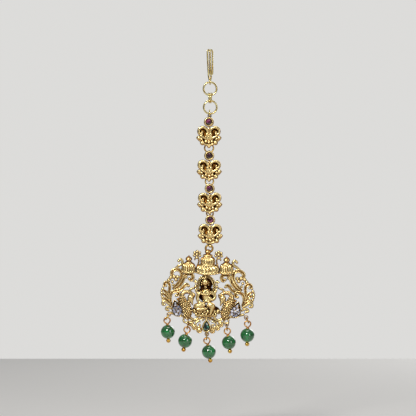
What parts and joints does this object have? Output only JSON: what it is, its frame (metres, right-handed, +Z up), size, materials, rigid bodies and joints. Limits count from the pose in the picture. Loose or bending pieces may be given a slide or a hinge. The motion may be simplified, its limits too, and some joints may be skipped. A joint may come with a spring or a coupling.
{
  "type": "maang tikka",
  "caption": "Forehead jewel with a hair hook, a chain of cast units with red stones and a pierced pendant with green bead drops.",
  "frame": {"origin": "inner top of the hook's bend, where the hook rests on what it hangs from", "axes": "+Z up along the hanging jewel, -Y towards the viewer of its front, +X to the viewer's right"},
  "size_m": [0.0409, 0.006, 0.1348],
  "materials": {
    "gold": "antique gold plating, brown in the hollows",
    "pale_gold": "polished pale gold plating",
    "pin_gold": "copper-gold wire",
    "red_stone": "cut, polished",
    "dark_green_stone": "cut, polished",
    "white_stone": "cut, polished",
    "green_bead": "polished, cloudy inside"
  },
  "bodies": {
    "chain": {"hook": "pale_gold", "large_ring_1": "pale_gold", "double_turn_link": "pale_gold", "large_ring_2": "pale_gold", "top_jump_ring": "pale_gold", "chain_unit_1": "gold", "ruby_1": "red_stone", "chain_unit_2": "gold", "ruby_2": "red_stone", "chain_unit_3": "gold", "ruby_3": "red_stone", "chain_unit_4": "gold", "ruby_4": "red_stone", "unit_link_1": "gold", "unit_link_2": "gold", "unit_link_3": "gold", "pendant_ring": "gold"},
    "pendant": {"pendant_casting": "gold", "pear_stone": "dark_green_stone", "pave_left": "white_stone", "pave_right": "white_stone", "drop_link_1": "gold", "eye_pin_1": "pin_gold", "green_bead_1": "green_bead", "drop_link_2": "gold", "eye_pin_2": "pin_gold", "green_bead_2": "green_bead", "drop_link_3": "gold", "eye_pin_3": "pin_gold", "green_bead_3": "green_bead", "drop_link_4": "gold", "eye_pin_4": "pin_gold", "green_bead_4": "green_bead", "drop_link_5": "gold", "eye_pin_5": "pin_gold", "green_bead_5": "green_bead"}
  },
  "joints": [
    {"name": "pendant_swing", "type": "hinge", "parent": "chain", "child": "pendant", "pos_m": [-0.00035, 0.00145, -0.0866], "axis": [1, 0, 0], "range_deg": [-20, 60]}
  ]
}
